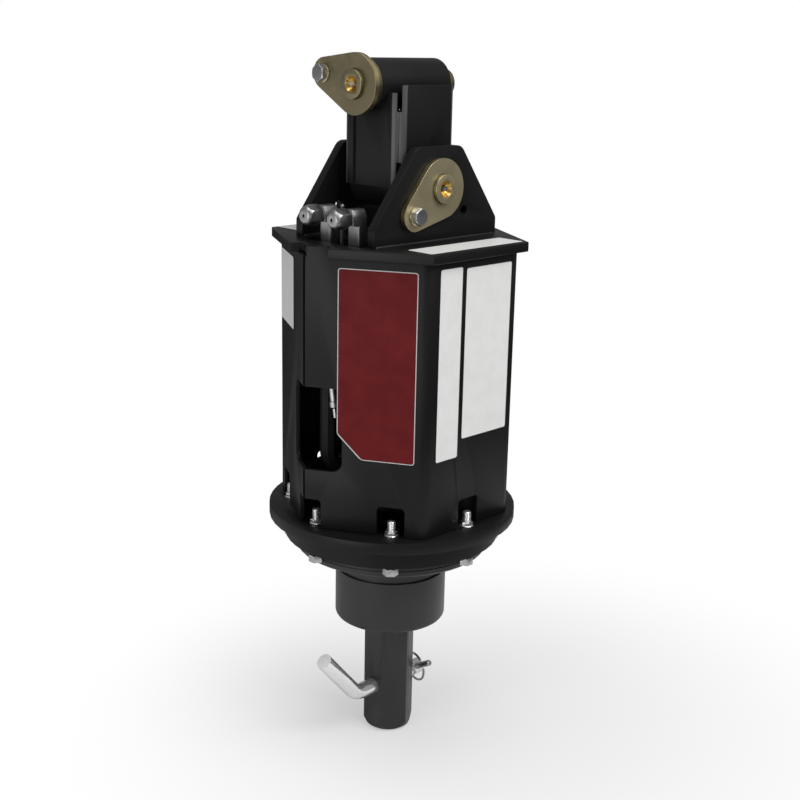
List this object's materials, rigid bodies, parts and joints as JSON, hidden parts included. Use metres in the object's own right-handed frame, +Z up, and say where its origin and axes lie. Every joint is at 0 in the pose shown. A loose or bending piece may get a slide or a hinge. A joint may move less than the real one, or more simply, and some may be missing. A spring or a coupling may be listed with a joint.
{
  "type": "earth auger drive",
  "caption": "Planetary auger drive hanging from a two-axis pinned link, with a hexagonal sheet housing, a bolted round gearbox and a hex output shaft with a bent pin.",
  "frame": {"origin": "middle of the upper hitch pin's axis", "axes": "+Z up along the output shaft, +Y along the upper pin away from its flag, +X along the lower pin towards its flag"},
  "size_m": [0.276, 0.276, 0.767],
  "materials": {
    "black_paint": "satin black powder coat",
    "yellow_zinc": "yellow passivated zinc plate",
    "bright_zinc": "bright zinc plate",
    "dark_steel": "dark plated steel",
    "gear_steel": "ground steel",
    "bronze": "plain bearing bronze",
    "black_rubber": "matt black rubber",
    "motor_paint": "black paint"
  },
  "bodies": {
    "hanger": {"upper_pin": "yellow_zinc", "upper_pin_flag": "yellow_zinc", "upper_flag_bolt": "bright_zinc", "upper_flag_washer": "bright_zinc", "upper_grease_nipple": "bright_zinc"},
    "link": {"upper_pivot_tube": "black_paint", "lower_pivot_tube": "black_paint", "link_web_front": "black_paint", "link_web_rear": "black_paint", "link_web_right": "black_paint", "link_web_left": "black_paint", "upper_bush_front": "bronze", "upper_bush_rear": "bronze", "lower_bush_right": "bronze", "lower_bush_left": "bronze"},
    "head": {"ear_right": "black_paint", "ear_left": "black_paint", "top_plate": "black_paint", "shell_right": "black_paint", "shell_left": "black_paint", "base_flange": "black_paint", "ring_gear": "black_paint", "hub_housing": "black_paint", "lower_pin": "yellow_zinc", "lower_pin_flag": "yellow_zinc", "lower_flag_washer": "bright_zinc", "lower_flag_bolt": "bright_zinc", "lower_grease_nipple": "bright_zinc", "flange_bolt_1": "bright_zinc", "flange_bolt_2": "bright_zinc", "flange_bolt_3": "bright_zinc", "flange_bolt_4": "bright_zinc", "flange_bolt_5": "bright_zinc", "flange_bolt_6": "bright_zinc", "flange_bolt_7": "bright_zinc", "flange_bolt_8": "bright_zinc", "motor_rotor_ring": "dark_steel", "motor_bolt_1": "dark_steel", "motor_bolt_2": "dark_steel", "elbow_left": "dark_steel", "elbow_right": "dark_steel", "bulkhead_nut_left": "dark_steel", "bulkhead_nut_right": "dark_steel", "port_cap_left": "dark_steel", "port_cap_right": "dark_steel", "upper_bearing": "gear_steel", "lower_bearing": "gear_steel", "output_seal": "black_rubber", "hose_return": "black_rubber", "hose_pressure": "black_rubber", "motor_housing": "motor_paint", "motor_end_cover": "motor_paint"},
    "output": {"output_shaft": "black_paint"},
    "sun": {"sun_shaft": "gear_steel"},
    "planet_1": {"planet_gear_1": "gear_steel"},
    "planet_2": {"planet_gear_2": "gear_steel"},
    "planet_3": {"planet_gear_3": "gear_steel"},
    "hitch": {"hitch_pin": "bright_zinc"},
    "linch": {"linch_pin": "bright_zinc"},
    "ring": {"linch_ring": "bright_zinc"}
  },
  "joints": [
    {"name": "link_swing", "type": "hinge", "parent": "hanger", "child": "link", "pos_m": [0, 0, 0], "axis": [0, 1, 0], "range_deg": [-35, 35]},
    {"name": "head_swing", "type": "hinge", "parent": "link", "child": "head", "pos_m": [0, 0, -0.1025], "axis": [1, 0, 0], "range_deg": [-38, 38]},
    {"name": "output_spin", "type": "hinge", "parent": "head", "child": "output", "pos_m": [0, 0, -0.65], "axis": [0, 0, 1], "continuous": true},
    {"name": "sun_spin", "type": "hinge", "parent": "head", "child": "sun", "pos_m": [0, 0, -0.47], "axis": [0, 0, 1], "continuous": true},
    {"name": "planet_1_spin", "type": "hinge", "parent": "output", "child": "planet_1", "pos_m": [0.05761, 0, -0.48], "axis": [0, 0, 1], "continuous": true},
    {"name": "planet_2_spin", "type": "hinge", "parent": "output", "child": "planet_2", "pos_m": [-0.02881, 0.04989, -0.48], "axis": [0, 0, 1], "continuous": true},
    {"name": "planet_3_spin", "type": "hinge", "parent": "output", "child": "planet_3", "pos_m": [-0.02881, -0.04989, -0.48], "axis": [0, 0, 1], "continuous": true},
    {"name": "hitch_pin_turn", "type": "hinge", "parent": "output", "child": "hitch", "pos_m": [0, 0, -0.6813], "axis": [0, 1, 0], "continuous": true},
    {"name": "linch_pin_play", "type": "slide", "parent": "hitch", "child": "linch", "axis": [0.866, 0, 0.5], "range_m": [-0.004, 0.004]},
    {"name": "linch_ring_flip", "type": "hinge", "parent": "linch", "child": "ring", "pos_m": [0.01472, 0.042, -0.6728], "axis": [-0.5, 0, 0.866], "range_deg": [-150, 0]}
  ],
  "couplings": [
    {"joint": "sun_spin", "follows": "output_spin", "ratio": 4},
    {"joint": "planet_1_spin", "follows": "output_spin", "ratio": -3},
    {"joint": "planet_2_spin", "follows": "output_spin", "ratio": -3},
    {"joint": "planet_3_spin", "follows": "output_spin", "ratio": -3}
  ]
}
